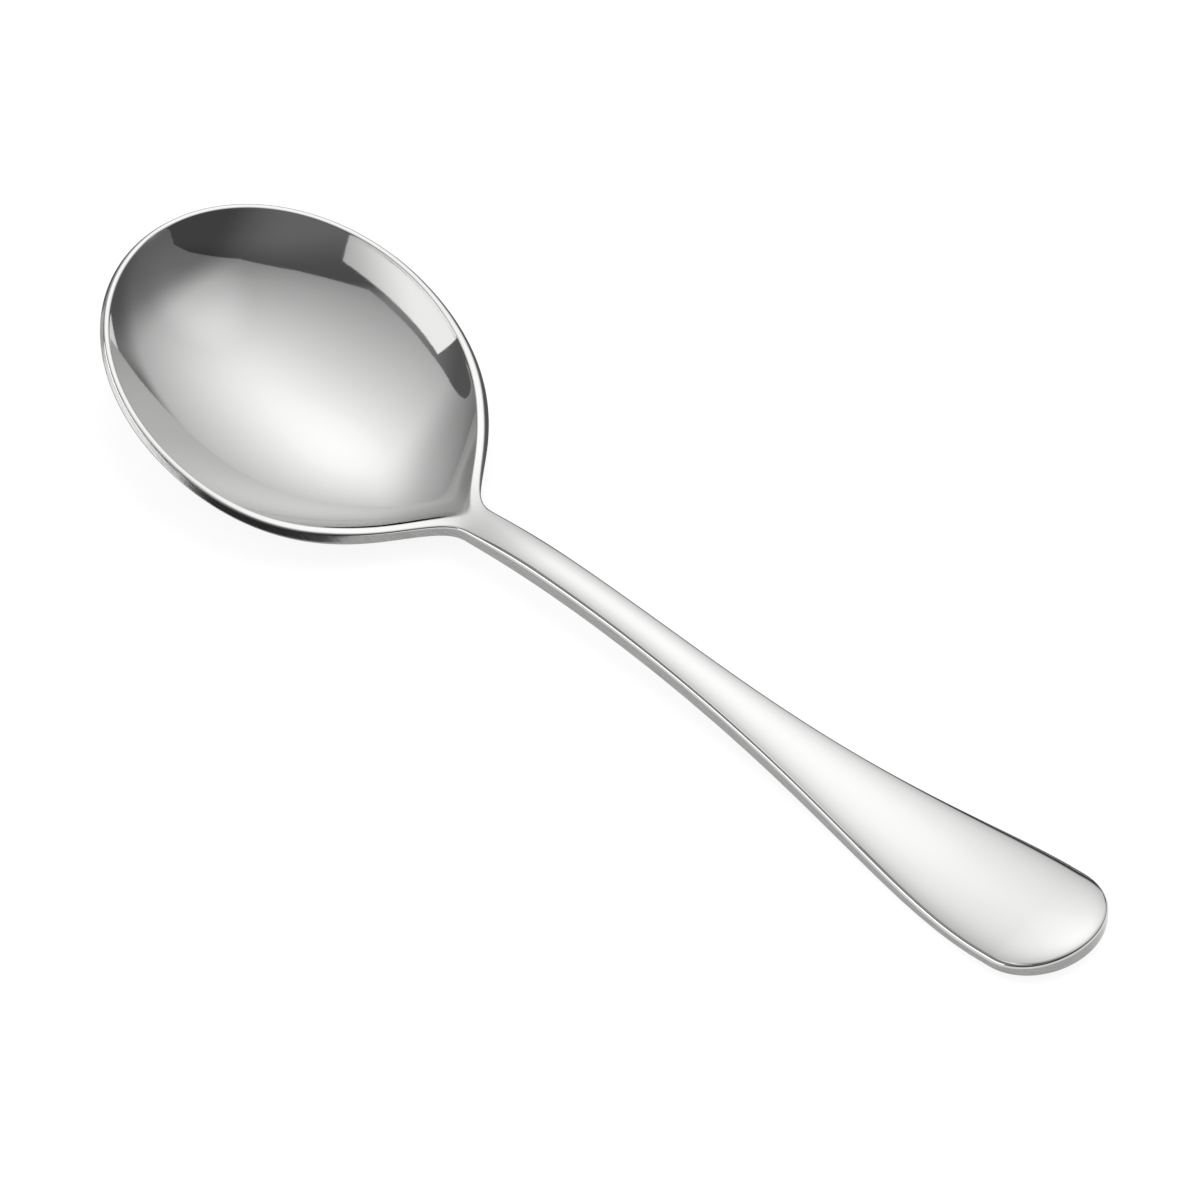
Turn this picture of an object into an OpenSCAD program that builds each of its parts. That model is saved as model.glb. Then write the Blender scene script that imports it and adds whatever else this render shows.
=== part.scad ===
// Soup spoon of polished stainless steel, pressed from one blank: a deep egg-shaped bowl,
// a neck, a slender stem and a flared, domed handle with a rounded, slightly turned-up end.
// The spoon lies along X with the bowl tip at -X and the handle end at +X, symmetric about Y = 0.
// It rests on Z = 0 on the underside of the bowl and the underside of the handle.
// All lengths are in millimetres.

/* [Overall] */
// Length from the bowl tip to the handle end
overall_length = 175; // [165:1:190]

/* [Bowl] */
// Length of the hollow, from the tip to the neck
bowl_length = 61.2; // [56:0.2:66]
// Width across the bowl at its widest
bowl_width = 51.2; // [46:0.2:56]
// Distance of the widest place from the tip
widest_from_tip = 28.4; // [25:0.1:32]
// Depth of the hollow below the rim
bowl_depth = 9.6; // [7:0.1:10.5]
// Height of the rim's ground face
rim_thick = 1.1; // [0.9:0.1:1.5]
// Distance by which the rim's ground face leans outwards, square to the wall
rim_lean = 0.75; // [0.6:0.05:1.2]
// Width of the flat land inside the rim's edge
rim_land = 0.45; // [0.3:0.05:0.8]
// Further width that the land gains towards the neck
neck_land = 1.7; // [0.8:0.1:2.4]
// Thickness of the bowl floor
floor_thick = 1.1; // [1:0.1:1.8]
// Height of the rim at the tip above the rim at the sides
tip_rise = 7.75; // [5:0.05:9]

/* [Neck] */
// Half width over which the shoulders ease into the stem
neck_fillet = 9.8; // [6:0.1:12]
// Height of the rim at the sides above the neck
neck_drop = 7.1; // [5:0.1:8.5]
// Length of the neck section
neck_length = 15; // [10:0.5:20]
// Length over which the hollow runs out into the neck
hollow_runout = 1.6; // [0.8:0.1:2.4]

/* [Stem] */
// Width of the stem at its narrowest
stem_width = 5.4; // [4.6:0.1:7]
// Extra lift of the middle of the stem above its edges
stem_crown = 0.5; // [0.1:0.05:0.8]
// Length of the stem section
stem_length = 35; // [28:0.5:42]
// Height of the start of the stem above the neck
stem_rise = 0.45; // [0.2:0.05:1.2]

/* [Handle] */
// Width of the flared handle
handle_width = 20.2; // [17:0.2:25]
// Thickness of the handle at its widest edges
handle_thick = 1.7; // [1.4:0.05:2.4]
// Height of the domed middle above the widest edges
handle_crown = 0.95; // [0.3:0.05:1.3]
// Height lost where the upper face rolls off towards the handle's edges
edge_roll = 0.45; // [0.2:0.05:0.7]
// Length of the rounded end
end_round = 9; // [8:0.1:13]
// Height of the handle end above the lowest stretch of the handle
end_rise = 1.95; // [1.2:0.05:4]
// Rounding of the edges
edge_round = 0.4; // [0.2:0.05:0.5]

/* [Hidden] */

// Fullness of the shoulders between the widest place and the neck
shoulder_share = 0.4;
// Power of the dished floor inside and outside; a higher power is flatter with steeper walls
inner_power = 2;
outer_power = 2.2;
// Power of the hollow's rise towards the tip
tip_power = 4;
// Place of the deepest spot as a share of the hollow's length
deep_share = 0.4;
// Rounding of the wall into the rim's land as a share of the dish
land_share = 0.015;
// Power of the flare along the handle
flare_power = 2.22;
// Flat left at the very tip and end as a share of the bowl's half width
flat_share = 0.03;
// Stations of the side profile as shares of their own stretch
side_share = 0.45;
arch_share = 0.055;
low_share = 0.77;
// Stretch of the flare, and starts of the thickening and of the dome towards the neck
flare_share = 0.903;
thick_share = 0.6;
crown_share = 0.8;
// Start of the stretch in which the rim's lean fades towards the neck
lean_share = 0.8;
// Share of the rim's height that the lean takes off at the very tip
tip_share = 0.6;

bowl_end = bowl_length + hollow_runout;
neck_end = bowl_end + neck_length;
stem_end = neck_end + stem_length;
handle_reach = overall_length - bowl_length;
flare_end = bowl_length + handle_reach * flare_share;
end_start = overall_length - end_round;
tip_flat = bowl_width / 2 * flat_share;
rim_inset = max(rim_lean, edge_round);
hollow_inset = rim_inset + rim_land;

// Number of points across a section and of sections along each piece
across_count = 16;
tip_count = 14;
shoulder_count = 18;
neck_count = 10;
stem_count = 8;
flare_count = 12;
end_count = 12;

// Stations spread evenly between two places
function even_stations(from, to, count) =
    [for (i = [0 : count]) from + (to - from) * i / count];

// Stations along the bowl crowd towards its tip, those along the handle towards its end
bowl_stations = concat(
    [for (i = [0 : tip_count - 1]) widest_from_tip * (1 - cos(90 * i / tip_count))],
    even_stations(widest_from_tip, bowl_end, shoulder_count)
);
neck_stations = even_stations(bowl_end, neck_end, neck_count);
stem_stations = even_stations(neck_end, stem_end, stem_count);
handle_stations = concat(
    even_stations(stem_end, end_start, flare_count),
    [for (i = [1 : end_count]) end_start + end_round * sin(90 * i / end_count)]
);

// Smooth positive part of a value: 0 below -k, the value itself above k
function ramp(c, k) =
    c <= -k ? 0 :
    c >= k ? c :
    let (t = (c + k) / (2 * k)) 2 * k * (pow(t, 3) - pow(t, 4) / 2);

// Smooth step from 0 to 1
function ease(t) =
    let (u = min(1, max(0, t))) u * u * (3 - 2 * u);

// Second derivatives of a natural cubic spline through the points xs, zs
function spline_sweep(xs, zs, i = 1, c = [0], d = [0]) =
    i > len(xs) - 2 ? [c, d] :
    let (
        before = xs[i] - xs[i - 1],
        after = xs[i + 1] - xs[i],
        bend = 6 * ((zs[i + 1] - zs[i]) / after - (zs[i] - zs[i - 1]) / before),
        pivot = 2 * (before + after) - before * c[i - 1]
    )
    spline_sweep(xs, zs, i + 1,
        concat(c, [after / pivot]),
        concat(d, [(bend - before * d[i - 1]) / pivot]));

function spline_back(c, d, i, m) =
    i < 0 ? m : spline_back(c, d, i - 1, concat([d[i] - c[i] * m[0]], m));

function spline_bends(xs, zs) =
    let (s = spline_sweep(xs, zs))
    spline_back(s[0], s[1], len(xs) - 2, [0]);

function spline_span(x, xs, i = 0) =
    i >= len(xs) - 2 || x <= xs[i + 1] ? i : spline_span(x, xs, i + 1);

function spline_at(x, xs, zs, ms) =
    let (
        i = spline_span(x, xs),
        h = xs[i + 1] - xs[i],
        a = (xs[i + 1] - x) / h,
        b = (x - xs[i]) / h
    )
    a * zs[i] + b * zs[i + 1]
        + ((pow(a, 3) - a) * ms[i] + (pow(b, 3) - b) * ms[i + 1]) * h * h / 6;

// Half width of the egg-shaped bowl at x from the tip: half an ellipse up to the widest
// place, then a fuller curve that falls to nothing at the end of the hollow and beyond
function egg(x) =
    let (
        tip = 1 - x / widest_from_tip,
        c = (x - widest_from_tip) / (bowl_length - widest_from_tip)
    )
    bowl_width / 2 * (x < widest_from_tip
        ? sqrt(max(0, 1 - tip * tip))
        : 1 - (1 - shoulder_share) * c * c - shoulder_share * pow(c, 4));

// Half width of the stem and handle at x from the tip, before the end is rounded
function flare_half(x) =
    let (t = pow(min(1, max(0, (x - bowl_length) / (flare_end - bowl_length))), flare_power))
    stem_width / 2 + (handle_width - stem_width) / 2 * ease(t);

// How far x lies into the elliptic end, from 0 to 1
function end_share(x) = min(1, max(0, (x - end_start) / end_round));

// Half width of egg, neck fillets, stem and handle before the end is rounded
function wide(x) =
    let (stem = flare_half(x))
    x < widest_from_tip ? egg(x) : stem + ramp(egg(x) - stem, neck_fillet);

// Half width of the whole spoon
function half_width(x) = max(tip_flat, wide(x) * sqrt(1 - pow(end_share(x), 2)));

// Edge thickness at x: the ground rim, then the handle's edge
function thick(x) =
    rim_thick + (handle_thick - rim_thick)
        * ease((x - bowl_length * thick_share) / (bowl_length * (1 - thick_share)));

// Lean of the edge at x: the rim's ground face leans outwards, the handle's edge stands upright
function lean(x) =
    rim_lean * (1 - ease((x - bowl_length * lean_share) / (bowl_length * (1 - lean_share))));

// Half width of the upper face at x, inside the leaning or rounded edge
function top_half(x) =
    let (
        tip = (widest_from_tip - x) / (widest_from_tip - rim_inset),
        slope = half_width(x + 0.05) / 0.1 - half_width(x - 0.05) / 0.1,
        w = half_width(x)
    )
    x < widest_from_tip
        ? max(tip_flat * 0.8, (bowl_width / 2 - rim_inset) * sqrt(max(0, 1 - tip * tip)))
        : w - max(min(edge_round, w / 3), lean(x) * sqrt(1 + slope * slope));

// Height of the domed upper face of stem and handle at x and at the share s of the half
// width: a low dome, a roll-off towards the edges and a lift of the narrow stem
function crown(x, s) =
    let (
        y = s * top_half(x),
        start = bowl_length * crown_share,
        out = min(1, pow(y / max(tip_flat, wide(x)), 2) + pow(end_share(x), 2)),
        across = y / (handle_width / 2)
    )
    ease((x - start) / (neck_end - start)) * (
        stem_crown * (1 - out)
        + edge_roll * flare_half(x) / (handle_width / 2) * (1 - pow(out, 4))
        + handle_crown * (1 - min(1, across * across)));

// Half width of the hollow at x, inside the rim's land, which widens towards the neck
function hollow_half(x) =
    let (
        tip = (widest_from_tip - x) / (widest_from_tip - hollow_inset),
        past = min(1, max(0, (x - widest_from_tip) / (bowl_length - widest_from_tip)))
    )
    max(tip_flat / 4, x < widest_from_tip
        ? (bowl_width / 2 - hollow_inset) * sqrt(max(0, 1 - tip * tip))
        : top_half(x) - rim_land - neck_land * past * past);

// Fraction of the full bowl depth at x and at the share s of the half width, for a dish
// that starts at the given distance from the tip. The fall from the deepest place is a
// square towards the neck and turns to a steeper power towards the tip.
function dish(x, s, power, start) =
    let (
        deep = start + (bowl_length - start) * deep_share,
        tip = (deep - x) / (deep - start),
        neck = (x - deep) / (bowl_length - deep),
        square = pow((deep - start) / (bowl_length - deep), 2),
        fall = x < deep ? square * tip * tip + (1 - square) * pow(tip, tip_power) : neck * neck,
        along = ramp(1 - fall, 2 * hollow_runout / (bowl_length - deep)),
        q = min(1, max(0, ramp(along * max(0, 1 - s * s) - land_share, land_share)))
    )
    x > bowl_end + hollow_runout ? 0 : 1 - pow(1 - q, power / 2);

// Depth of the underside below the edge line
function belly(x, s) =
    thick(x) + (bowl_depth + floor_thick - rim_thick) * dish(x, s, outer_power, 0);

// Stations of the side profile, measured from the tip
profile_x = [
    0,
    bowl_length * side_share,
    bowl_length,
    bowl_length + handle_reach * arch_share,
    bowl_length + handle_reach * low_share,
    overall_length
];

// Heights of the edge line at those stations above the rim at the sides
function profile_z(low) = [
    tip_rise,
    0,
    -neck_drop,
    stem_rise - neck_drop,
    low,
    low + end_rise
];

// Lowest underside over a list of stations for a given edge line
function lowest(stations, zs) =
    let (ms = spline_bends(profile_x, zs))
    min([for (x = stations) spline_at(x, profile_x, zs, ms) - belly(x, 0)]);

// The handle's lowest stretch is brought level with the underside of the bowl
function levelled(low, passes) =
    passes == 0 ? low :
    let (zs = profile_z(low))
    levelled(low + lowest(bowl_stations, zs) - lowest(handle_stations, zs), passes - 1);

edge_z = profile_z(levelled(handle_thick - bowl_depth - floor_thick, 5));
edge_bends = spline_bends(profile_x, edge_z);
table = min(lowest(bowl_stations, edge_z), lowest(handle_stations, edge_z));

// Height of the edge line above the table
function edge_height(x) = spline_at(x, profile_x, edge_z, edge_bends) - table;

// Upper and lower faces at x from the tip and at the share s of the half width
function upper(x, s) =
    edge_height(x)
        - bowl_depth * dish(x, s * top_half(x) / hollow_half(x), inner_power, hollow_inset)
        + crown(x, s)
        - rim_thick * tip_share * max(0, 1 - x / rim_inset);
function lower(x, s) = edge_height(x) - belly(x, s);

// One closed section at x: upper face, leaning or upright edge, lower face, edge
function section(x) =
    let (
        w = half_width(x),
        top = top_half(x),
        e = min(edge_round, min(w, thick(x)) / 4),
        px = x - overall_length / 2,
        share = lean(x) / rim_lean,
        side_low = lower(x, 1) + e,
        side_high = (upper(x, 1) - e) * (1 - share) + (side_low + e / 4) * share,
        shares = [for (j = [0 : across_count]) sin(180 * j / across_count - 90)]
    )
    concat(
        [for (s = shares) [px, s * top, upper(x, s)]],
        [[px, w, side_high], [px, w, side_low]],
        [for (j = [across_count : -1 : 0])
            [px, shares[j] * (w - e), lower(x, shares[j] * (w - e) / w)]],
        [[px, -w, side_low], [px, -w, side_high]]
    );

// Triangles that close a section, as strips between the upper and the lower face
function cap(first, flip) =
    let (
        top = [for (j = [0 : across_count]) first + j],
        low = [for (j = [0 : across_count]) first + 2 * across_count + 3 - j],
        right = [first + across_count + 1, first + across_count + 2],
        left = [first + 2 * across_count + 5, first + 2 * across_count + 4],
        strip = [for (j = [0 : across_count - 1]) each [
            [top[j], top[j + 1], low[j + 1]],
            [top[j], low[j + 1], low[j]]]],
        sides = [
            [top[across_count], right[0], right[1]],
            [top[across_count], right[1], low[across_count]],
            [left[0], top[0], low[0]],
            [left[0], low[0], left[1]]]
    )
    [for (f = concat(strip, sides)) flip ? [f[0], f[2], f[1]] : f];

// A solid through sections at the given stations
module loft(stations) {
    ring = 2 * across_count + 6;
    last = len(stations) - 1;
    points = [for (x = stations) each section(x)];
    walls = [for (i = [0 : last - 1]) for (j = [0 : ring - 1])
        let (
            k = (j + 1) % ring,
            a = i * ring + j,
            b = i * ring + k,
            c = (i + 1) * ring + k,
            d = (i + 1) * ring + j
        )
        each [[a, b, c], [a, c, d]]];
    polyhedron(
        points = points,
        faces = concat(walls, cap(0, true), cap(last * ring, false)),
        convexity = 4
    );
}

module bowl() {
    color("silver") loft(bowl_stations);
}

module neck() {
    color("lightgray") loft(neck_stations);
}

module stem() {
    color("silver") loft(stem_stations);
}

module handle() {
    color("lightgray") loft(handle_stations);
}

bowl();
neck();
stem();
handle();
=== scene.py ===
"""Looks of a polished steel soup spoon, built around its CAD frame.

The whole spoon is one smooth surface over rows along the outline and columns from the
middle line out over the upper face, round the edge and back below. It is cut at the CAD's
own joints into bowl, neck, stem and handle. The stage is a white floor under a light tent,
with cards that only the metal mirrors.
"""

import math

import bpy
import numpy as np
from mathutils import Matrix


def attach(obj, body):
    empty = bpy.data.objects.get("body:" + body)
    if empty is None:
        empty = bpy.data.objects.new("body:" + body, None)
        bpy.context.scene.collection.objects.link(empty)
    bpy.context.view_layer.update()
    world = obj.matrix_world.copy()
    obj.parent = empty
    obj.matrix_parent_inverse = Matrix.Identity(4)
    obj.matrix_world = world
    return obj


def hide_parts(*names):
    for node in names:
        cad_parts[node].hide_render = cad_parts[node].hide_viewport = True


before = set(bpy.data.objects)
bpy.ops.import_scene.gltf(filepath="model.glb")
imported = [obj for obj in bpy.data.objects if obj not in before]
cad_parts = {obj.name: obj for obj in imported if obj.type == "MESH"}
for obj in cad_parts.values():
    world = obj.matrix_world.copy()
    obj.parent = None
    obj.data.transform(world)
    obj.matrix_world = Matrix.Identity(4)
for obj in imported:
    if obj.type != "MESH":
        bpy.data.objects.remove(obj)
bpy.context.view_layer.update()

bl_info = {
    "name": "Soup spoon",
    "version": (1, 0, 0),
    "blender": (4, 5, 0),
    "location": "View3D > Sidebar > Soup spoon",
    "description": "Builds the looks of a polished steel soup spoon around its CAD frame",
    "category": "Add Mesh",
}

# Rows of points along each stretch of the outline.
TIP_ROWS = 80
SHOULDER_ROWS = 90
NECK_ROWS = 36
STEM_ROWS = 50
FLARE_ROWS = 60
END_ROWS = 60

# Columns of points over a face, round a corner and down the edge.
FACE_COLUMNS = 90
CORNER_COLUMNS = 6
EDGE_COLUMNS = 5

# Small lengths in metres, and counts, that only keep the sums sound.
LEAST_HALF_WIDTH = 1e-6
SLOPE_STEP = 2e-5
CUT_REACH = 1e-7
WELD_GRID = 1e8  # Grid steps to the metre: points on one grid place become one point.
LEVEL_POINTS = 200
LEVEL_ROUNDS = 5

# Usual middle range of a noise texture's values.
NOISE_LOW = 0.3
NOISE_HIGH = 0.7

# The photo's camera: angles, distance in metres, sensor in millimetres, shift in pixels.
AZIMUTH = math.radians(42.16)
ELEVATION = math.radians(48.07)
CAMERA_DISTANCE = 1.275
SENSOR_WIDTH = 36
FOCAL_SHARE = 7.664875  # Focal length over the sensor's width.
FRAME_PIXELS = 1200
SHIFT_RIGHT = -5.32
SHIFT_UP = 38.45
NEAR_CLIP = 0.05
FAR_CLIP = 50

# Directions on the stage as the camera sees it.
RIGHT = np.array([math.cos(AZIMUTH), math.sin(AZIMUTH), 0])
TOWARDS = np.array([math.sin(AZIMUTH), -math.cos(AZIMUTH), 0])
UP = np.array([0, 0, 1])

# Floor and light tent.
WHITE = (1, 1, 1, 1)
FLOOR_HALF = 22
FLOOR_GLOW = 0.8
FLOOR_SHADED = 0.24  # Colour of the part of the floor's white that a shadow takes away.
TENT_RADIUS = 20
TENT_RINGS = 24
TENT_SIDES = 72

# Tone of the tent: share of a right angle from its brightest place, and brightness there.
TENT_TONES = (
    (0.0, 1.0), (0.12, 0.94), (0.2, 0.86), (0.35, 0.67),
    (0.5, 0.52), (0.65, 0.34), (0.75, 0.21), (1.0, 0.16),
)

# Patches of the tent: direction (right, towards the camera, up), the reach along it over
# which the patch sets in, and the factor on the brightness before and after.
TENT_PATCHES = (
    ((-0.66, -0.66, 0.34), (0.75, 0.95), (1.0, 0.7)),  # Dim corner behind, at the left.
    ((0.77, 0.18, 0.61), (0.84, 0.99), (1.0, 1.22)),  # Lamp at the right.
    ((0.41, 0.5, -0.76), (-0.13, 0.1), (1.0, 0.52)),  # Dark seam, low in front.
    ((0.0, 0.0, 1.0), (0.05, 0.2), (0.65, 1.0)),  # Dimmer just above the floor.
)

# Dark strip of the tent just above the floor, straight behind the spoon.
STRIP_DIRECTION = (0.26, -0.96, 0.0)
STRIP_REACH = (0.8, 0.95)
STRIP_RISE = (0.08, 0.18)
STRIP_DARKNESS = 0.9

# Cards that only the metal mirrors: corners (right, towards the camera) and heights in metres.
DARK_ROOM_OUTLINE = (
    (6.5, 2.6), (5.0, 1.8), (3.4, 1.58), (1.2, 1.49), (0.1, 1.23), (-0.67, 0.97),
    (-1.3, 0.2), (-1.9, -0.47), (-2.15, -0.72), (-2.5, -1.02), (-2.95, -1.36),
    (-3.3, -1.53), (-3.36, -1.45), (-3.2, -1.22), (-2.62, -0.6), (-2.1, 0.05),
    (-2.06, 0.22), (-0.75, 1.95), (-0.9, 3.5), (-2.0, 9.0), (9.0, 9.0),
)
DARK_ROOM_HEIGHT = 2.0
WINDOW_OUTLINE = ((-0.46, 1.38), (-1.47, 0.11), (-1.96, 0.13), (-0.57, 1.86))
WINDOW_HEIGHT = 1.99
FLAG_OUTLINE = (
    (-0.156, -0.125), (-0.053, -0.031), (-0.034, -0.037),
    (0.060, 0.049), (0.192, -0.096), (-0.014, -0.282),
)
FLAG_HEIGHT = 0.0005
FLAG_GLOW = 0.2
FRONT_WALL = ((-3.8, 4.5), (5.0, 4.5))
FRONT_WALL_HEIGHT = 2.2
FRONT_WALL_GLOW = 0.05
SIDE_LIGHT = ((-4.5, 4.3), (-4.5, -2.0))
SIDE_LIGHT_HEIGHT = 1.5
SIDE_LIGHT_GLOW = 2.6


def length(name, description, default):
    """A length in metres, shown in the scene's own unit."""
    return bpy.props.FloatProperty(
        name=name, description=description, default=default,
        unit="LENGTH", subtype="DISTANCE", precision=4,
    )


def share(name, description, default):
    """A plain number such as a share or a power."""
    return bpy.props.FloatProperty(
        name=name, description=description, default=default, precision=3
    )


def colour(name, description, default):
    """A colour in linear values."""
    return bpy.props.FloatVectorProperty(
        name=name, description=description, default=default,
        size=3, min=0, max=1, subtype="COLOR",
    )


class SpoonSizes(bpy.types.PropertyGroup):
    """Sizes of the spoon, the same as in its CAD."""

    overall_length: length("Overall length", "From the bowl tip to the handle end", 0.175)
    bowl_length: length("Bowl length", "From the tip to the neck", 0.0612)
    bowl_width: length("Bowl width", "Across the bowl at its widest", 0.0512)
    widest_from_tip: length("Widest place", "Distance of the widest place from the tip", 0.0284)
    bowl_depth: length("Bowl depth", "Depth of the hollow below the rim", 0.0096)
    rim_thick: length("Rim height", "Height of the rim's ground face", 0.0011)
    rim_lean: length("Rim lean", "Outward lean of the rim's ground face", 0.00075)
    rim_land: length("Rim land", "Width of the flat land inside the rim's edge", 0.00045)
    neck_land: length("Neck land", "Further width that the land gains towards the neck", 0.0017)
    floor_thick: length("Floor", "Thickness of the bowl floor", 0.0011)
    tip_rise: length("Tip rise", "Height of the rim at the tip above its sides", 0.00775)
    neck_fillet: length("Neck fillet", "Half width over which shoulders become stem", 0.0098)
    neck_drop: length("Neck drop", "Height of the rim at the sides above the neck", 0.0071)
    neck_length: length("Neck length", "Length of the neck section", 0.015)
    hollow_runout: length("Hollow run-out", "Length over which the hollow runs out", 0.0016)
    stem_width: length("Stem width", "Width of the stem at its narrowest", 0.0054)
    stem_crown: length("Stem crown", "Extra lift of the stem's middle above its edges", 0.0005)
    stem_length: length("Stem length", "Length of the stem section", 0.035)
    stem_rise: length("Stem rise", "Height of the start of the stem above the neck", 0.00045)
    handle_width: length("Handle width", "Width of the flared handle", 0.0202)
    handle_thick: length("Handle thickness", "Thickness of the handle at its edges", 0.0017)
    handle_crown: length("Handle crown", "Height of the domed middle above the edges", 0.00095)
    edge_roll: length("Edge roll", "Height lost at the handle's rolled-off edges", 0.00045)
    end_round: length("End rounding", "Length of the rounded end", 0.009)
    end_rise: length("End rise", "Height of the end above the handle's lowest stretch", 0.00195)
    rim_round: length("Rim rounding", "Rounding of the bowl's upper edge", 0.00025)
    upper_round: length("Upper rounding", "Rounding of the handle's upper edges", 0.00045)
    lower_round: length("Lower rounding", "Rounding of the lower edges", 0.0003)
    shoulder_share: share("Shoulders", "Fullness between the widest place and the neck", 0.4)
    inner_power: share("Inner power", "Power of the dished floor inside", 2.0)
    outer_power: share("Outer power", "Power of the dished floor outside", 2.2)
    tip_power: share("Tip power", "Power of the hollow's rise towards the tip", 4.0)
    deep_share: share("Deepest place", "Place of the deepest spot along the hollow", 0.4)
    land_share: share("Land rounding", "Rounding of the wall into the rim's land", 0.015)
    flare_power: share("Flare power", "Power of the flare along the handle", 2.22)
    side_share: share("Side station", "Place of the lowest side rim along the bowl", 0.45)
    arch_share: share("Arch station", "Place of the stem's start along the reach", 0.055)
    low_share: share("Low station", "Place of the handle's lowest stretch", 0.77)
    flare_share: share("Flare stretch", "End of the flare along the handle's reach", 0.903)
    thick_share: share("Thickening start", "Start of the thickening along the bowl", 0.6)
    crown_share: share("Crown start", "Start of the dome along the bowl", 0.8)
    lean_share: share("Lean end", "Place along the bowl where the lean starts to fade", 0.8)


class SpoonFinish(bpy.types.PropertyGroup):
    """Colours and finish of the steel and the studio."""

    steel_colour: colour("Steel", "Polished steel", (0.57, 0.57, 0.566))
    edge_colour: colour("Ground edge", "Satin ground edge of the steel", (0.31, 0.31, 0.307))
    floor_colour: colour("Floor", "Plain pale floor", (0.80, 0.80, 0.80))
    peak_zenith: share("Peak height", "Degrees from overhead to the brightest place", 33)
    peak_side: share("Peak side", "Degrees from straight behind, to its right", 15)
    tent_light: share("Tent light", "Brightness of the tent's brightest place", 1.75)
    polish: share("Polish", "Roughness of the polished faces", 0.035)
    grind: share("Grind", "Roughness of the ground edge", 0.17)


def ramp(c, k):
    """Smooth positive part of c: 0 below -k and c itself above k."""
    t = np.clip((c + k) / (2 * k), 0, 1)
    return np.where(c >= k, c, 2 * k * (t**3 - t**4 / 2))


def ease(t):
    """Smooth step from 0 to 1."""
    u = np.clip(t, 0, 1)
    return u * u * (3 - 2 * u)


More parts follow.
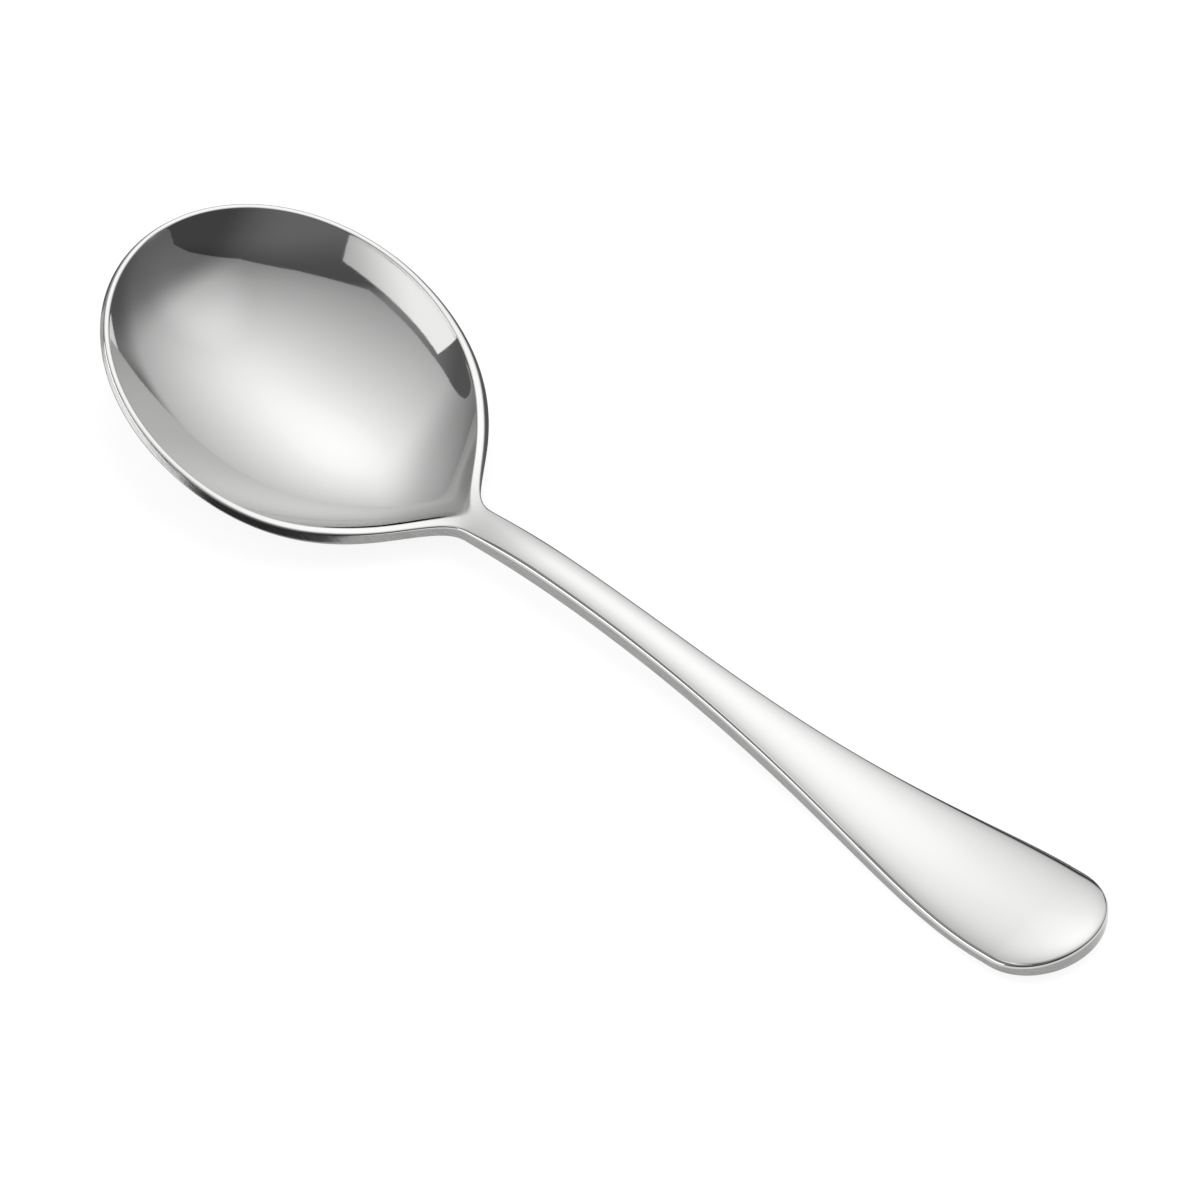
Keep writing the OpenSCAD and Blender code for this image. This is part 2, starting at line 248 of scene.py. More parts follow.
class Spoon:
    """The spoon's formulas over x from the bowl tip and y across, in metres."""

    def __init__(self, sizes):
        for name in SpoonSizes.__annotations__:
            setattr(self, name, getattr(sizes, name))
        self.bowl_end = self.bowl_length + self.hollow_runout
        self.neck_end = self.bowl_end + self.neck_length
        self.stem_end = self.neck_end + self.stem_length
        reach = self.overall_length - self.bowl_length
        self.flare_end = self.bowl_length + reach * self.flare_share
        self.end_start = self.overall_length - self.end_round
        self.stations = np.array([
            0,
            self.bowl_length * self.side_share,
            self.bowl_length,
            self.bowl_length + reach * self.arch_share,
            self.bowl_length + reach * self.low_share,
            self.overall_length,
        ])
        self.table = 0.0
        self.level()

    def level(self):
        """Brings the handle's lowest stretch level with the bowl's underside, both to zero."""
        bowl = np.linspace(0, self.bowl_length, LEVEL_POINTS)
        handle = np.linspace(self.stem_end, self.overall_length, LEVEL_POINTS)
        low = self.handle_thick - self.bowl_depth - self.floor_thick
        for _ in range(LEVEL_ROUNDS):
            self.set_profile(low)
            under_bowl = self.lower(bowl, 0 * bowl).min()
            under_handle = self.lower(handle, 0 * handle).min()
            low += under_bowl - under_handle
        self.table = min(under_bowl, under_handle)

    def set_profile(self, low):
        """Natural cubic spline of the edge line through the six stations."""
        x = self.stations
        z = np.array([
            self.tip_rise,
            0,
            -self.neck_drop,
            self.stem_rise - self.neck_drop,
            low,
            low + self.end_rise,
        ])
        h = np.diff(x)
        system = np.diag(np.r_[1, 2 * (h[:-1] + h[1:]), 1])
        system += np.diag(np.r_[h[:-1], 0], -1) + np.diag(np.r_[0, h[1:]], 1)
        bends = 6 * np.diff(np.diff(z) / h)
        self.heights, self.bends = z, np.linalg.solve(system, np.r_[0, bends, 0])

    def edge(self, x):
        """Height of the edge line at x."""
        at, z, m = self.stations, self.heights, self.bends
        i = np.clip(np.searchsorted(at, x) - 1, 0, len(at) - 2)
        h = at[i + 1] - at[i]
        a, b = (at[i + 1] - x) / h, (x - at[i]) / h
        bend = ((a**3 - a) * m[i] + (b**3 - b) * m[i + 1]) * h * h / 6
        return a * z[i] + b * z[i + 1] + bend

    def egg(self, x):
        """Half width of the bowl: half an ellipse to the widest place, then a fuller fall."""
        tip = np.sqrt(np.maximum(0, 1 - (1 - x / self.widest_from_tip) ** 2))
        c = (x - self.widest_from_tip) / (self.bowl_length - self.widest_from_tip)
        neck = 1 - (1 - self.shoulder_share) * c**2 - self.shoulder_share * c**4
        return self.bowl_width / 2 * np.where(x < self.widest_from_tip, tip, neck)

    def flare(self, x):
        """Half width of stem and handle before the end is rounded."""
        along = np.clip((x - self.bowl_length) / (self.flare_end - self.bowl_length), 0, 1)
        wider = (self.handle_width - self.stem_width) / 2 * ease(along**self.flare_power)
        return self.stem_width / 2 + wider

    def rounding(self, x):
        """How far x lies into the rounded end, from 0 to 1."""
        return np.clip((x - self.end_start) / self.end_round, 0, 1)

    def wide(self, x):
        """Half width of egg, neck fillets, stem and handle before the end is rounded."""
        egg, stem = self.egg(x), self.flare(x)
        eased = stem + ramp(egg - stem, self.neck_fillet)
        return np.where(x < self.widest_from_tip, egg, eased)

    def half_width(self, x):
        """Half width of the whole spoon."""
        return self.wide(x) * np.sqrt(1 - self.rounding(x) ** 2)

    def slant(self, x):
        """Ratio of a distance across the spoon to the same distance square to the outline."""
        ahead, behind = self.half_width(x + SLOPE_STEP), self.half_width(x - SLOPE_STEP)
        slope = (ahead - behind) / (2 * SLOPE_STEP)
        return np.where(x <= self.widest_from_tip, 1, np.sqrt(1 + slope**2))

    def thick(self, x):
        """Height of the edge face."""
        start = self.bowl_length * self.thick_share
        t = (x - start) / (self.bowl_length * (1 - self.thick_share))
        return self.rim_thick + (self.handle_thick - self.rim_thick) * ease(t)

    def lean(self, x):
        """Lean of the edge face: outwards round the bowl, none along the handle."""
        start = self.bowl_length * self.lean_share
        t = (x - start) / (self.bowl_length * (1 - self.lean_share))
        return self.rim_lean * (1 - ease(t))

    def top_half(self, x):
        """Half width of the upper face inside the leaning edge."""
        tip = (self.widest_from_tip - x) / (self.widest_from_tip - self.rim_lean)
        inner = (self.bowl_width / 2 - self.rim_lean) * np.sqrt(np.maximum(0, 1 - tip**2))
        outer = self.half_width(x) - self.lean(x) * self.slant(x)
        return np.maximum(LEAST_HALF_WIDTH, np.where(x < self.widest_from_tip, inner, outer))

    def crown(self, x, y):
        """Dome of the upper face along stem and handle, rolled off towards the edges."""
        start = self.bowl_length * self.crown_share
        rise = ease((x - start) / (self.neck_end - start))
        side = y / np.maximum(LEAST_HALF_WIDTH, self.wide(x))
        out = np.clip(side**2 + self.rounding(x) ** 2, 0, 1)
        roll = self.edge_roll * self.flare(x) / (self.handle_width / 2)
        across = np.clip(1 - (2 * y / self.handle_width) ** 2, 0, 1)
        dome = self.stem_crown * (1 - out) + roll * (1 - out**4) + self.handle_crown * across
        return rise * dome

    def hollow_half(self, x):
        """Half width of the hollow inside the rim's land, which widens towards the neck."""
        inset = self.rim_lean + self.rim_land
        t = (self.widest_from_tip - x) / (self.widest_from_tip - inset)
        tip = (self.bowl_width / 2 - inset) * np.sqrt(np.maximum(0, 1 - t**2))
        past = (x - self.widest_from_tip) / (self.bowl_length - self.widest_from_tip)
        land = self.rim_land + self.neck_land * np.clip(past, 0, 1) ** 2
        neck = self.top_half(x) - land
        return np.maximum(LEAST_HALF_WIDTH, np.where(x < self.widest_from_tip, tip, neck))

    def dish(self, x, s, power, start):
        """Fraction of the full depth at x and at the share s of the half width. The fall from
        the deepest place is a square towards the neck and a steeper power towards the tip."""
        deep = start + (self.bowl_length - start) * self.deep_share
        tip, neck = (deep - x) / (deep - start), (x - deep) / (self.bowl_length - deep)
        square = ((deep - start) / (self.bowl_length - deep)) ** 2
        steeper = square * tip**2 + (1 - square) * np.abs(tip) ** self.tip_power
        fall = np.where(x < deep, steeper, neck**2)
        along = ramp(1 - fall, 2 * self.hollow_runout / (self.bowl_length - deep))
        inside = along * np.clip(1 - s * s, 0, 1) - self.land_share
        q = np.clip(ramp(inside, self.land_share), 0, 1)
        past = x > self.bowl_end + self.hollow_runout
        return np.where(past, 0, 1 - (1 - q) ** (power / 2))

    def upper(self, x, y):
        """Height of the upper face: edge line, less the hollow, plus the dome."""
        start = self.rim_lean + self.rim_land
        hollow = self.dish(x, y / self.hollow_half(x), self.inner_power, start)
        return self.edge(x) - self.bowl_depth * hollow + self.crown(x, y) - self.table

    def lower(self, x, y):
        """Height of the lower face: edge line, less the edge's height and the belly."""
        side = y / np.maximum(LEAST_HALF_WIDTH, self.half_width(x))
        belly = self.dish(x, side, self.outer_power, 0)
        return (
            self.edge(x)
            - self.thick(x)
            - (self.bowl_depth + self.floor_thick - self.rim_thick) * belly
            - self.table
        )

    def rows(self):
        """Outline points from the tip to the end on one side, their spine points and the
        vectors that lead one unit out, square to the outline."""
        t = np.linspace(0, math.pi / 2, TIP_ROWS)[:-1]
        x = np.concatenate([
            np.linspace(self.widest_from_tip, self.bowl_end, SHOULDER_ROWS),
            np.linspace(self.bowl_end, self.neck_end, NECK_ROWS)[1:],
            np.linspace(self.neck_end, self.stem_end, STEM_ROWS)[1:],
            np.linspace(self.stem_end, self.end_start, FLARE_ROWS)[1:],
        ])
        u = np.linspace(0, math.pi / 2, END_ROWS)[1:]
        a, b, c = self.widest_from_tip, self.bowl_width / 2, self.handle_width / 2
        outline = np.concatenate([
            np.stack([a - a * np.cos(t), b * np.sin(t)], 1),
            np.stack([x, self.half_width(x)], 1),
            np.stack([self.end_start + self.end_round * np.sin(u), c * np.cos(u)], 1),
        ])
        spine = np.stack([np.clip(outline[:, 0], a, self.end_start), 0 * outline[:, 0]], 1)
        out = np.concatenate([
            np.stack([-np.cos(t), np.sin(t)], 1),
            np.stack([0 * x, self.slant(x)], 1),
            np.stack([np.sin(u), np.cos(u)], 1),
        ])
        return outline, spine, out

    def surface(self):
        """Places along the spoon and points of its half, rows by columns: over the upper face,
        round the edge and back below."""
        outline, spine, out = self.rows()

        def inset(d):
            """Outline moved in by the distances d."""
            return outline[:, None] - d[..., None] * out[:, None]

        def placed(plan, z):
            """Plan points with their heights."""
            return np.concatenate([plan, z[..., None]], -1)

        def face(d, height, r):
            """A face from the spine out to the inset d, at the shares r of the way."""
            plan = spine[:, None] + r[None, :, None] * (inset(d[:, None]) - spine[:, None])
            return placed(plan, height(plan[..., 0], plan[..., 1]))

        def corner(a, b, c):
            """A rounded corner from a to c, drawn towards b."""
            t = np.linspace(0, 1, CORNER_COLUMNS + 1)[1:]
            return (1 - t) ** 2 * a[:, None] + 2 * t * (1 - t) * b[:, None] + t**2 * c[:, None]

        def height(d, f):
            """Height of the face f at the inset d."""
            p = inset(d[:, None])[:, 0]
            return f(p[:, 0], p[:, 1])

        lean = self.lean(outline[:, 0])
        nil = 0 * lean
        top, low = height(lean, self.upper), height(nil, self.lower)
        size = np.hypot(lean, top - low)
        fade_start = self.bowl_length * self.lean_share
        fade = ease((outline[:, 0] - fade_start) / (self.neck_end - fade_start))
        upper_round = self.rim_round + (self.upper_round - self.rim_round) * fade
        lower_round = self.lower_round + nil

        first_d, first_z = lean + upper_round, height(lean + upper_round, self.upper)
        high_d = lean - upper_round * lean / size
        high_z = top - upper_round * (top - low) / size
        low_d = lower_round * lean / size
        low_z = low + lower_round * (top - low) / size
        last_d, last_z = lower_round, height(lower_round, self.lower)

        r = np.sin(np.linspace(0, math.pi / 2, FACE_COLUMNS))
        t = np.linspace(0, 1, EDGE_COLUMNS + 1)[1:]
        edge_d = np.concatenate([
            corner(first_d, lean, high_d),
            high_d[:, None] + t * (low_d - high_d)[:, None],
            corner(low_d, nil, last_d),
        ], 1)
        edge_z = np.concatenate([
            corner(first_z, top, high_z),
            high_z[:, None] + t * (low_z - high_z)[:, None],
            corner(low_z, low, last_z),
        ], 1)
        half = np.concatenate([
            face(first_d, self.upper, r),
            placed(inset(edge_d), edge_z),
            face(last_d, self.lower, r[-2::-1]),
        ], 1)
        return outline[:, 0], half


def weld_points(ring):
    """The ring's points without doubles, and the number of the point at each row and column."""
    flat = ring.reshape(-1, 3)
    grid = np.round(flat * WELD_GRID).astype(np.int64)
    _, keep, weld = np.unique(grid, axis=0, return_index=True, return_inverse=True)
    return flat[keep], weld.reshape(ring.shape[:2])


def point_normals(points, quads):
    """Normals of the whole surface at its points, weighted by the areas of the quads."""
    normals = np.zeros_like(points)
    one_way = points[quads[:, 2]] - points[quads[:, 0]]
    other_way = points[quads[:, 3]] - points[quads[:, 1]]
    weight = np.cross(one_way, other_way)
    for corner in range(4):
        np.add.at(normals, quads[:, corner], weight)
    return normals / np.linalg.norm(normals, axis=1, keepdims=True)


def edge_places(ring, i, j, k):
    """Texture places of the corners of each quad: metres along the edge and across it."""
    rim = ring[:, FACE_COLUMNS + CORNER_COLUMNS, :2]
    u = np.r_[0, np.cumsum(np.linalg.norm(np.roll(rim, -1, 0) - rim, axis=1))]
    across = np.cumsum(np.linalg.norm(np.diff(ring, axis=1), axis=2), axis=1)
    v = np.concatenate([np.zeros((len(ring), 1)), across], 1)
    corners = (
        (u[i], v[i, k]), (u[i + 1], v[j, k]), (u[i + 1], v[j, k + 1]), (u[i], v[i, k + 1])
    )
    return np.stack([np.stack(place, -1) for place in corners], -2).reshape(-1, 4, 2)


def end_caps(weld, places, half_rows, first, last):
    """Quads that close a piece at its cuts, and the way along the spoon that each cap faces."""
    k = np.arange(weld.shape[1] // 2 - 1)
    for place, facing in ((first, -1), (last, 1)):
        for row in np.flatnonzero(np.abs(places - place) < CUT_REACH):
            over, under = weld[row], weld[row, ::-1]
            cap = np.stack([over[k], under[k], under[k + 1], over[k + 1]], -1)
            yield cap if (row < half_rows) == (facing > 0) else cap[:, ::-1], facing


def corner_picks(quads):
    """Masks of the whole quads and of those with a side of no length, and corners to keep."""
    thin = [quads[:, n] == quads[:, (n + 1) % 4] for n in range(4)]
    picks = [(~np.any(thin, axis=0), [0, 1, 2, 3])]
    for n in range(4):
        mask = thin[n] & ~np.any(thin[:n], axis=0)
        picks.append((mask, [c for c in range(4) if c != n]))
    return picks


def build_piece(name, spoon, finish, first, last):
    """One piece of the spoon between two places along its length, closed with flat ends."""
    along, half = spoon.surface()
    ring = np.concatenate([half, half[-2:0:-1] * np.array([1, -1, 1])])
    places = np.concatenate([along, along[-2:0:-1]])
    ring[..., 0] -= spoon.overall_length / 2
    rows, columns = ring.shape[:2]
    points, weld = weld_points(ring)

    i, k = np.meshgrid(np.arange(rows), np.arange(columns - 1), indexing="ij")
    j = (i + 1) % rows
    quads = np.stack([weld[i, k], weld[j, k], weld[j, k + 1], weld[i, k + 1]], -1).reshape(-1, 4)
    normals = point_normals(points, quads)
    uv = edge_places(ring, i, j, k)

    edge_from = FACE_COLUMNS - 1 + CORNER_COLUMNS
    edge_to = edge_from + EDGE_COLUMNS + CORNER_COLUMNS // 2
    satin = ((k >= edge_from) & (k < edge_to)).reshape(-1)
    middle = ((places[i] + places[j]) / 2).reshape(-1)
    inside = (middle > first) & (middle < last)
    quads, uv, satin = quads[inside], uv[inside], satin[inside]
    shading = normals[quads]

    for cap, facing in end_caps(weld, places, len(half), first, last):
        quads = np.concatenate([quads, cap])
        uv = np.concatenate([uv, points[cap][..., 1:]])
        satin = np.r_[satin, np.zeros(len(cap), bool)]
        flat = np.broadcast_to([facing, 0.0, 0.0], cap.shape + (3,))
        shading = np.concatenate([shading, flat])

    used, quads = np.unique(quads, return_inverse=True)
    quads = quads.reshape(-1, 4)
    faces, loops, lights, marks = [], [], [], []
    for mask, corners in corner_picks(quads):
        faces += quads[mask][:, corners].tolist()
        loops.append(uv[mask][:, corners].reshape(-1, 2))
        lights.append(shading[mask][:, corners].reshape(-1, 3))
        marks.append(satin[mask])

    mesh = bpy.data.meshes.new(name)
    mesh.from_pydata(points[used].tolist(), [], faces)
    mesh.uv_layers.new(name="along_edge").data.foreach_set("uv", np.concatenate(loops).ravel())
    mesh.materials.append(polished_steel(finish))
    mesh.materials.append(ground_edge(finish))
    mesh.polygons.foreach_set("material_index", np.concatenate(marks).astype(np.int32))
    mesh.polygons.foreach_set("use_smooth", np.ones(len(faces), bool))
    mesh.normals_split_custom_set(np.concatenate(lights))
    mesh.update()
    piece = bpy.data.objects.new("spoon_" + name, mesh)
    bpy.context.scene.collection.objects.link(piece)
    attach(piece, "root")
    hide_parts(name)
    return piece


def new_material(name):
    """An empty node material, its tree and its output."""
    material = bpy.data.materials.new(name)
    material.use_nodes = True
    tree = material.node_tree
    tree.nodes.clear()
    return material, tree, tree.nodes.new("ShaderNodeOutputMaterial")


def feed(tree, socket, value):
    """Links a socket to another one, or sets it to a number, colour or vector."""
    if isinstance(value, bpy.types.NodeSocket):
        tree.links.new(value, socket)
    else:
        socket.default_value = value


def add(tree, kind, **inputs):
    """A node with some sockets set or linked; spaces in a socket's name are underscores."""
    node = tree.nodes.new("ShaderNode" + kind)
    for socket, value in inputs.items():
        feed(tree, node.inputs[socket.replace("_", " ")], value)
    return node


def math_node(tree, operation, *values):
    """A maths node on numbers or sockets."""
    node = tree.nodes.new("ShaderNodeMath")
    node.operation = operation
    for socket, value in zip(node.inputs, values):
        feed(tree, socket, value)
    return node.outputs[0]


def spread(tree, value, low, high):
    """A noise value stretched from its usual middle range to low..high."""
    node = add(
        tree, "MapRange", Value=value,
        From_Min=NOISE_LOW, From_Max=NOISE_HIGH, To_Min=low, To_Max=high,
    )
    return node.outputs["Result"]


def soft_range(tree, value, reach, levels):
    """A smooth change from the first level to the second while the value crosses the reach."""
    node = add(
        tree, "MapRange", Value=value,
        From_Min=reach[0], From_Max=reach[1], To_Min=levels[0], To_Max=levels[1],
    )
    node.interpolation_type = "SMOOTHSTEP"
    return node.outputs["Result"]


def polished_steel(finish):
    """Mirror-polished steel with faint buffing marks along the spoon and soft unevenness."""
    if "polished steel" in bpy.data.materials:
        return bpy.data.materials["polished steel"]
    material, tree, output = new_material("polished steel")
    place = add(tree, "TexCoord").outputs["Object"]
    lines = add(tree, "Mapping", Vector=place, Scale=(60, 2600, 2600)).outputs["Vector"]
    buffing = add(tree, "TexNoise", Vector=lines, Scale=1.0, Detail=3.0).outputs["Fac"]
    clouds = add(tree, "TexNoise", Vector=place, Scale=55.0, Detail=2.0).outputs["Fac"]
    both = add(tree, "Mix", Factor=0.5, A=buffing, B=clouds).outputs[0]
    smoothest, dullest = finish.polish * 0.75, finish.polish * 1.35
    shader = add(
        tree, "BsdfPrincipled", Metallic=1.0,
        Base_Color=(*finish.steel_colour, 1),
        Roughness=spread(tree, both, smoothest, dullest),
    )
    bump = add(tree, "Bump", Strength=0.03, Distance=0.00002, Height=buffing)
    tree.links.new(bump.outputs["Normal"], shader.inputs["Normal"])
    tree.links.new(shader.outputs["BSDF"], output.inputs["Surface"])
    return material


def ground_edge(finish):
    """Satin ground edge with fine streaks that run along the edge."""
    if "ground edge" in bpy.data.materials:
        return bpy.data.materials["ground edge"]
    material, tree, output = new_material("ground edge")
    along_edge = add(tree, "UVMap").outputs["UV"]
    lines = add(tree, "Mapping", Vector=along_edge, Scale=(220, 7000, 1)).outputs["Vector"]
    streaks = add(tree, "TexNoise", Vector=lines, Scale=1.0, Detail=4.0).outputs["Fac"]
    place = add(tree, "TexCoord").outputs["Object"]
    grain = add(tree, "TexNoise", Vector=place, Scale=4200.0, Detail=2.0).outputs["Fac"]
    both = add(tree, "Mix", Factor=0.35, A=streaks, B=grain).outputs[0]
    darkest, lightest = 0.72, 1.28
    tone = add(tree, "ValToRGB", Fac=both)
    ends = ((NOISE_LOW, darkest), (NOISE_HIGH, lightest))
    for element, (position, factor) in zip(tone.color_ramp.elements, ends):
        element.position = position
        element.color = (*(factor * c for c in finish.edge_colour), 1)
    smoothest, dullest = finish.grind * 0.8, finish.grind * 1.2
    shader = add(
        tree, "BsdfPrincipled", Metallic=1.0, Base_Color=tone.outputs["Color"],
        Roughness=spread(tree, streaks, smoothest, dullest),
    )
    bump = add(tree, "Bump", Strength=0.25, Distance=0.00004, Height=streaks)
    tree.links.new(bump.outputs["Normal"], shader.inputs["Normal"])
    tree.links.new(shader.outputs["BSDF"], output.inputs["Surface"])
    return material


def direction(right, towards, up):
    """A vector on the stage from its reach to the right, towards the camera and up."""
    return right * RIGHT + towards * TOWARDS + up * UP


def reach_along(tree, vector, way):
    """How far a vector reaches in a direction."""
    node = tree.nodes.new("ShaderNodeVectorMath")
    node.operation = "DOT_PRODUCT"
    tree.links.new(vector, node.inputs[0])
    node.inputs[1].default_value = tuple(way)
    return node.outputs["Value"]


def shine(tree, output, strength):
    """Makes the whole material white light of a strength."""
    light = add(tree, "Emission", Color=WHITE, Strength=strength)
    tree.links.new(light.outputs["Emission"], output.inputs["Surface"])


def even_glow(name, strength):
    """Material of a card of even brightness."""
    material, tree, output = new_material(name)
    shine(tree, output, strength)
    return material


def card_glow(name, brightness):
    """Material of a card whose brightness follows its place, right and towards the camera."""
    material, tree, output = new_material(name)
    place = add(tree, "SeparateXYZ", Vector=add(tree, "UVMap").outputs["UV"]).outputs
    shine(tree, output, brightness(tree, place["X"], place["Y"]))
    return material


def dark_room(tree, right, towards):
    """Dark side of the room behind the camera: darker to both sides and along its lower edge."""
    right_side = soft_range(tree, right, (0.2, 2.4), (0.21, 0.085))
    left_side = soft_range(tree, right, (-2.2, -0.9), (0.45, 1.0))
    lower_edge = soft_range(tree, towards, (1.15, 2.1), (0.55, 1.0))
    window_edge = soft_range(tree, towards, (0.8, 1.1), (1.5, 0.5))
    level = math_node(tree, "MULTIPLY", right_side, left_side)
    edges = math_node(tree, "MAXIMUM", lower_edge, window_edge)
    return math_node(tree, "MULTIPLY", level, edges)


def window(tree, right, _towards):
    """Window behind the camera: dimmer at its right end."""
    return soft_range(tree, right, (-1.2, -0.4), (1.45, 0.7))


def tent_material(finish):
    """White light tent: brightest overhead behind the spoon, fading to grey all round."""
    material, tree, output = new_material("light tent")
    place = tree.nodes.new("ShaderNodeVectorMath")
    place.operation = "NORMALIZE"
    tree.links.new(add(tree, "TexCoord").outputs["Object"], place.inputs[0])
    place = place.outputs["Vector"]

    zenith, side = math.radians(finish.peak_zenith), math.radians(finish.peak_side)
    level_out = math.sin(zenith)
    peak = direction(level_out * math.sin(side), -level_out * math.cos(side), math.cos(zenith))
    cosine = math_node(tree, "MINIMUM", reach_along(tree, place, peak), 1.0)
    angle = math_node(tree, "ARCCOSINE", cosine)
    tone = add(tree, "ValToRGB", Fac=math_node(tree, "DIVIDE", angle, math.pi / 2))
    tone.color_ramp.interpolation = "B_SPLINE"
    while len(tone.color_ramp.elements) < len(TENT_TONES):
        tone.color_ramp.elements.new(0.5)
    for element, (position, value) in zip(tone.color_ramp.elements, TENT_TONES):
        element.position = position
        element.color = (value, value, value, 1)
    grey = add(tree, "RGBToBW", Color=tone.outputs["Color"]).outputs[0]
    level = math_node(tree, "MULTIPLY", grey, finish.tent_light)

    for way, reach, levels in TENT_PATCHES:
        patch = soft_range(tree, reach_along(tree, place, direction(*way)), reach, levels)
        level = math_node(tree, "MULTIPLY", level, patch)
    low = soft_range(tree, reach_along(tree, place, UP), STRIP_RISE, (1.0, 0.0))
    back = reach_along(tree, place, direction(*STRIP_DIRECTION))
    behind = soft_range(tree, back, STRIP_REACH, (0.0, STRIP_DARKNESS))
    strip = math_node(tree, "SUBTRACT", 1.0, math_node(tree, "MULTIPLY", low, behind))
    shine(tree, output, math_node(tree, "MULTIPLY", level, strip))
    return material


def floor_material(finish):
    """Pale floor: seen directly or in the metal it is white and keeps a faint shadow."""
    material, tree, output = new_material("floor")
    path = add(tree, "LightPath").outputs
    seen = path["Is Camera Ray"]
    for name in ("Is Glossy Ray", "Is Transmission Ray"):
        seen = math_node(tree, "MAXIMUM", seen, path[name])
    plain = add(tree, "BsdfDiffuse", Color=(*finish.floor_colour, 1))
    shaded = add(tree, "BsdfDiffuse", Color=(FLOOR_SHADED, FLOOR_SHADED, FLOOR_SHADED, 1))
    white = add(tree, "Emission", Color=WHITE, Strength=FLOOR_GLOW)
    bright = tree.nodes.new("ShaderNodeAddShader")
    tree.links.new(shaded.outputs["BSDF"], bright.inputs[0])
    tree.links.new(white.outputs["Emission"], bright.inputs[1])
    mix = tree.nodes.new("ShaderNodeMixShader")
    tree.links.new(seen, mix.inputs[0])
    tree.links.new(plain.outputs["BSDF"], mix.inputs[1])
    tree.links.new(bright.outputs[0], mix.inputs[2])
    tree.links.new(mix.outputs[0], output.inputs["Surface"])
    return material


def stage_mesh(name, points, faces, material, mirrored_only=True):
    """A mesh of the stage. One that is mirrored only is seen in the metal and nowhere else."""
    mesh = bpy.data.meshes.new(name)
    mesh.from_pydata(points, [], faces)
    mesh.materials.append(material)
    mesh.update()
    obj = bpy.data.objects.new(name, mesh)
    bpy.context.scene.collection.objects.link(obj)
    if mirrored_only:
        obj.visible_camera = False
        obj.visible_diffuse = False
        obj.visible_shadow = False
        obj.visible_transmission = False
    return obj


def card(name, outline, height, material):
    """A flat studio card. Its corners are (right, towards the camera) in metres."""
    corners = np.array(outline, float)
    points = corners[:, :1] * RIGHT + corners[:, 1:] * TOWARDS
    points[:, 2] = height
    obj = stage_mesh(name, points.tolist(), [list(range(len(points)))], material)
    obj.data.uv_layers.new(name="across").data.foreach_set("uv", corners.ravel())


def wall(name, ends, height, material):
    """A standing studio card on the floor between two places."""
    start, end = ends
    card(name, [start, end, end, start], np.array([0, 0, height, height]), material)


def tent(material):
    """A half sphere over the stage: radius times the cosine and sine of height and turn."""
    heights = np.linspace(0, math.pi / 2, TENT_RINGS + 1)
    turns = np.linspace(0, 2 * math.pi, TENT_SIDES + 1)
    up, turn = np.meshgrid(heights, turns, indexing="ij")
    unit = np.stack([np.cos(up) * np.cos(turn), np.cos(up) * np.sin(turn), np.sin(up)], -1)
    points = TENT_RADIUS * unit.reshape(-1, 3)
    i, k = np.meshgrid(np.arange(TENT_RINGS), np.arange(TENT_SIDES), indexing="ij")
    lower = i * len(turns) + k
    upper = lower + len(turns)
    faces = np.stack([lower, upper, upper + 1, lower + 1], -1).reshape(-1, 4)
    stage_mesh("light_tent", points.tolist(), faces.tolist(), material)


def build_stage(finish):
    """Floor, white surround, light tent, mirrored cards, one soft light and the camera."""
    scene = bpy.context.scene
    world = bpy.data.worlds.new("white surround")
    world.use_nodes = True
    background = world.node_tree.nodes["Background"].inputs
    background["Color"].default_value = WHITE
    background["Strength"].default_value = 1.0
    scene.world = world
    scene.view_settings.view_transform = "Standard"

    h = FLOOR_HALF
    square = [(-h, -h, 0), (h, -h, 0), (h, h, 0), (-h, h, 0)]
    stage_mesh("floor", square, [(0, 1, 2, 3)], floor_material(finish), mirrored_only=False)
    tent(tent_material(finish))
    card("dark_room", DARK_ROOM_OUTLINE, DARK_ROOM_HEIGHT, card_glow("dark room", dark_room))
    card("window_card", WINDOW_OUTLINE, WINDOW_HEIGHT, card_glow("window", window))
    card("floor_flag", FLAG_OUTLINE, FLAG_HEIGHT, even_glow("flag", FLAG_GLOW))
    wall("front_wall", FRONT_WALL, FRONT_WALL_HEIGHT, even_glow("front", FRONT_WALL_GLOW))
    wall("side_light", SIDE_LIGHT, SIDE_LIGHT_HEIGHT, even_glow("side light", SIDE_LIGHT_GLOW))

    light = bpy.data.lights.new("soft_light", "AREA")
    light.shape = "DISK"
    light.size = 1.2
    light.energy = 6.0
    lamp = bpy.data.objects.new("soft_light", light)
    lamp.location = (0.2, 0.3, 1.6)
    lamp.visible_glossy = False
    scene.collection.objects.link(lamp)

    view = bpy.data.cameras.new("camera")
    view.sensor_width = SENSOR_WIDTH
    view.lens = SENSOR_WIDTH * FOCAL_SHARE
    view.shift_x = SHIFT_RIGHT / FRAME_PIXELS
    view.shift_y = SHIFT_UP / FRAME_PIXELS
    view.clip_start, view.clip_end = NEAR_CLIP, FAR_CLIP
    camera = bpy.data.objects.new("camera", view)
    back = direction(0, math.cos(ELEVATION), math.sin(ELEVATION))
    camera.location = CAMERA_DISTANCE * back
    camera.rotation_euler = (math.pi / 2 - ELEVATION, 0, AZIMUTH)
    scene.collection.objects.link(camera)
    scene.camera = camera


class PieceBuilder:
    """Shared work of the four piece operators."""

    bl_options = {"REGISTER", "UNDO"}

    def execute(self, context):
        spoon = Spoon(context.scene.spoon_sizes)
        cuts = {
            "bowl": (-math.inf, spoon.bowl_end),
            "neck": (spoon.bowl_end, spoon.neck_end),
            "stem": (spoon.neck_end, spoon.stem_end),
            "handle": (spoon.stem_end, math.inf),
        }
        build_piece(self.piece, spoon, context.scene.spoon_finish, *cuts[self.piece])
        return {"FINISHED"}


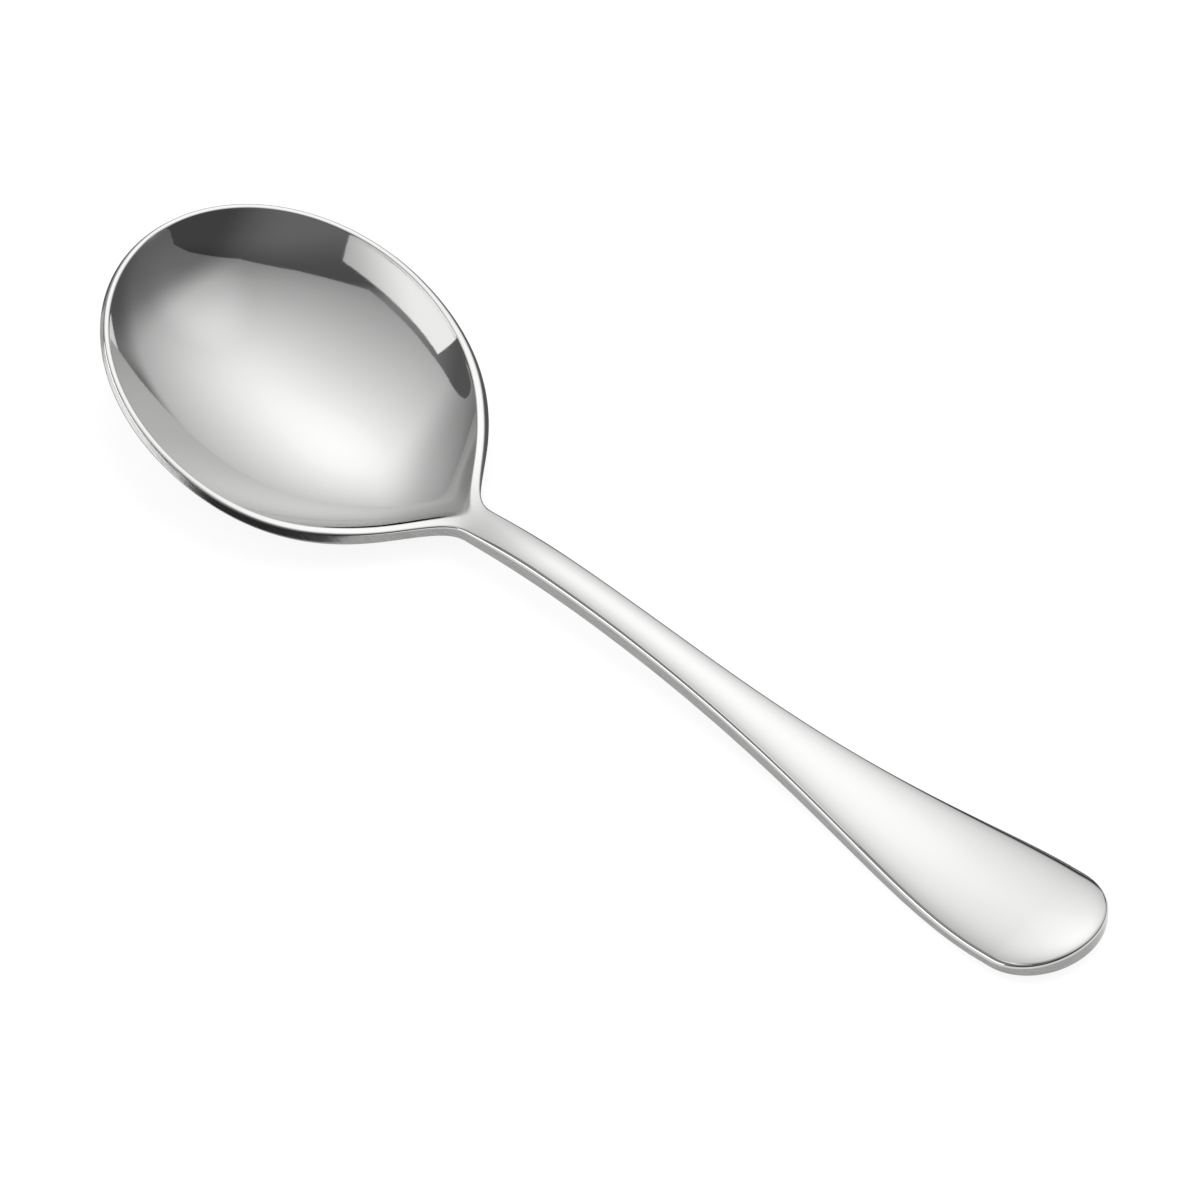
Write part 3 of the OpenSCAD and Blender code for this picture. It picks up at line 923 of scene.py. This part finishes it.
class SPOON_OT_bowl(PieceBuilder, bpy.types.Operator):
    """Builds the egg-shaped bowl with its leaning ground rim"""

    bl_idname = "spoon.bowl"
    bl_label = "Bowl"
    piece = "bowl"


class SPOON_OT_neck(PieceBuilder, bpy.types.Operator):
    """Builds the neck between bowl and stem"""

    bl_idname = "spoon.neck"
    bl_label = "Neck"
    piece = "neck"


class SPOON_OT_stem(PieceBuilder, bpy.types.Operator):
    """Builds the slender stem"""

    bl_idname = "spoon.stem"
    bl_label = "Stem"
    piece = "stem"


class SPOON_OT_handle(PieceBuilder, bpy.types.Operator):
    """Builds the flared, domed handle with its rounded end"""

    bl_idname = "spoon.handle"
    bl_label = "Handle"
    piece = "handle"


class SPOON_OT_stage(bpy.types.Operator):
    """Builds the floor, surround, tent, cards, light and camera"""

    bl_idname = "spoon.stage"
    bl_label = "Stage"
    bl_options = {"REGISTER", "UNDO"}

    def execute(self, context):
        build_stage(context.scene.spoon_finish)
        return {"FINISHED"}


class SPOON_PT_panel(bpy.types.Panel):
    """Lists the spoon's pieces in the sidebar"""

    bl_idname = "SPOON_PT_panel"
    bl_label = "Soup spoon"
    bl_space_type = "VIEW_3D"
    bl_region_type = "UI"
    bl_category = "Soup spoon"

    def draw(self, context):
        for operator in OPERATORS:
            self.layout.operator(operator.bl_idname)
        for group in (context.scene.spoon_sizes, context.scene.spoon_finish):
            for name in group.__annotations__:
                self.layout.prop(group, name)


OPERATORS = (SPOON_OT_bowl, SPOON_OT_neck, SPOON_OT_stem, SPOON_OT_handle, SPOON_OT_stage)
CLASSES = (SpoonSizes, SpoonFinish, *OPERATORS, SPOON_PT_panel)


def register():
    for cls in CLASSES:
        bpy.utils.register_class(cls)
    bpy.types.Scene.spoon_sizes = bpy.props.PointerProperty(type=SpoonSizes)
    bpy.types.Scene.spoon_finish = bpy.props.PointerProperty(type=SpoonFinish)


def unregister():
    del bpy.types.Scene.spoon_finish
    del bpy.types.Scene.spoon_sizes
    for cls in reversed(CLASSES):
        bpy.utils.unregister_class(cls)


def main():
    register()
    bpy.ops.spoon.bowl()
    bpy.ops.spoon.neck()
    bpy.ops.spoon.stem()
    bpy.ops.spoon.handle()
    bpy.ops.spoon.stage()


if __name__ == "__main__":
    main()
